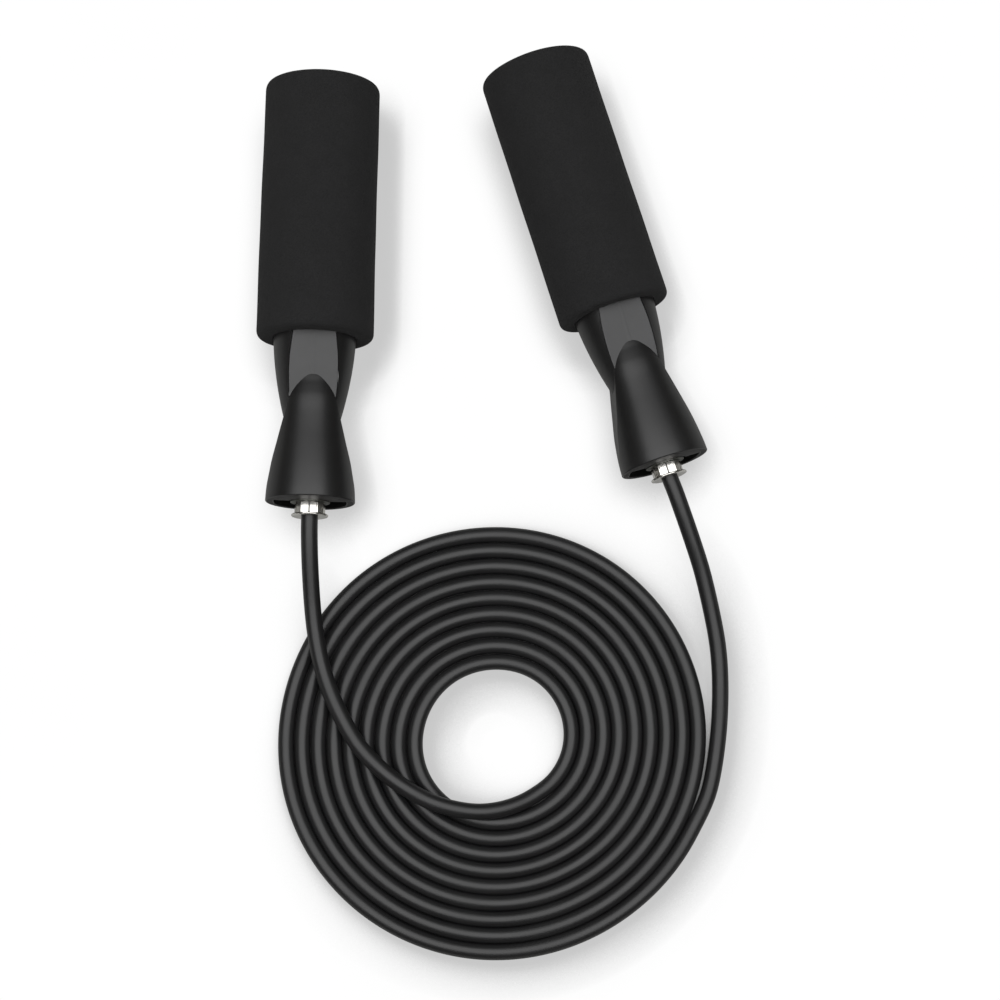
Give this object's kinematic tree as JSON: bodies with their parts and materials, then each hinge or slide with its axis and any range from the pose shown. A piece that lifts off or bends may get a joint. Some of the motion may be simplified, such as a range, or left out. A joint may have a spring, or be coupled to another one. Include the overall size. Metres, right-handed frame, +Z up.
{
  "type": "jump rope",
  "caption": "Bearing speed jump rope: a thin black cord coiled flat, with foam-sleeved handles that spin on ball bearings.",
  "frame": {"origin": "on the floor, under the middle of the laid-out rope", "axes": "+Z up from the floor, +Y from the coil towards the handles' butts, +X to the right seen from above with the handles away from the viewer"},
  "size_m": [0.1483, 0.2867, 0.0371],
  "materials": {
    "cord_pvc": "satin black extruded PVC",
    "foam": "matte black closed-cell foam, fine open pores on the skin",
    "core_grey": "fine matte moulded, dark grey",
    "shell_black": "fine matte moulded, black",
    "carrier_black": "matte moulded, black",
    "plug_black": "matte moulded, black",
    "nickel": "bright nickel plate",
    "zinc": "dull zinc plate",
    "bearing_steel": "ground steel",
    "ball_steel": "polished steel",
    "cage_nylon": "natural nylon",
    "washer_steel": "stamped steel",
    "spring_steel": "dark spring wire",
    "crimp_aluminium": "drawn aluminium, crimped"
  },
  "bodies": {
    "cord": {"cord_coil": "cord_pvc"},
    "left_bend": {"cord_left_bend": "cord_pvc"},
    "left_tail": {"cord_left_tail": "cord_pvc", "left_spindle": "nickel", "left_spacer_sleeve": "zinc", "left_bearing_inner_ring": "bearing_steel", "left_thrust_washer": "washer_steel", "left_snap_ring": "spring_steel", "left_cord_stop": "crimp_aluminium"},
    "left_handle": {"left_foam_grip": "foam", "left_handle_core": "core_grey", "left_nose_shell": "shell_black", "left_bearing_carrier": "carrier_black", "left_bearing_outer_ring": "bearing_steel", "left_end_plug": "plug_black"},
    "left_ball_set": {"left_ball_cage": "cage_nylon", "left_ball_1": "ball_steel", "left_ball_2": "ball_steel", "left_ball_3": "ball_steel", "left_ball_4": "ball_steel", "left_ball_5": "ball_steel", "left_ball_6": "ball_steel", "left_ball_7": "ball_steel"},
    "right_bend": {"cord_right_bend": "cord_pvc"},
    "right_tail": {"cord_right_tail": "cord_pvc", "right_spindle": "nickel", "right_spacer_sleeve": "zinc", "right_bearing_inner_ring": "bearing_steel", "right_thrust_washer": "washer_steel", "right_snap_ring": "spring_steel", "right_cord_stop": "crimp_aluminium"},
    "right_handle": {"right_foam_grip": "foam", "right_handle_core": "core_grey", "right_nose_shell": "shell_black", "right_bearing_carrier": "carrier_black", "right_bearing_outer_ring": "bearing_steel", "right_end_plug": "plug_black"},
    "right_ball_set": {"right_ball_cage": "cage_nylon", "right_ball_1": "ball_steel", "right_ball_2": "ball_steel", "right_ball_3": "ball_steel", "right_ball_4": "ball_steel", "right_ball_5": "ball_steel", "right_ball_6": "ball_steel", "right_ball_7": "ball_steel"}
  },
  "joints": [
    {"name": "left_swing", "type": "hinge", "parent": "cord", "child": "left_bend", "pos_m": [-0.0558, -0.0372, 0.0104], "axis": [0, 0, 1], "range_deg": [-4, 25]},
    {"name": "left_lift", "type": "hinge", "parent": "left_bend", "child": "left_tail", "pos_m": [-0.0565, -0.0263, 0.0138], "axis": [0.9999, -0.0131, 0], "range_deg": [0, 60]},
    {"name": "left_spin", "type": "hinge", "parent": "left_tail", "child": "left_handle", "pos_m": [-0.0569, -0.0027, 0.0186], "axis": [0.0183, 0.9998, 0], "continuous": true},
    {"name": "left_ball_orbit", "type": "hinge", "parent": "left_tail", "child": "left_ball_set", "pos_m": [-0.0569, -0.0027, 0.0186], "axis": [0.0183, 0.9998, 0], "continuous": true},
    {"name": "right_swing", "type": "hinge", "parent": "cord", "child": "right_bend", "pos_m": [0.0715, -0.0565, 0.0029], "axis": [0, 0, -1], "range_deg": [-4, 25]},
    {"name": "right_lift", "type": "hinge", "parent": "right_bend", "child": "right_tail", "pos_m": [0.0692, -0.0373, 0.0058], "axis": [0.9531, 0.3025, 0], "range_deg": [0, 60]},
    {"name": "right_spin", "type": "hinge", "parent": "right_tail", "child": "right_handle", "pos_m": [0.0538, 0.0096, 0.01805], "axis": [-0.299, 0.9542, 0], "continuous": true},
    {"name": "right_ball_orbit", "type": "hinge", "parent": "right_tail", "child": "right_ball_set", "pos_m": [0.0538, 0.0096, 0.01805], "axis": [-0.299, 0.9542, 0], "continuous": true}
  ],
  "couplings": [
    {"joint": "left_ball_orbit", "follows": "left_spin", "ratio": 0.5792},
    {"joint": "right_ball_orbit", "follows": "right_spin", "ratio": 0.5792}
  ]
}
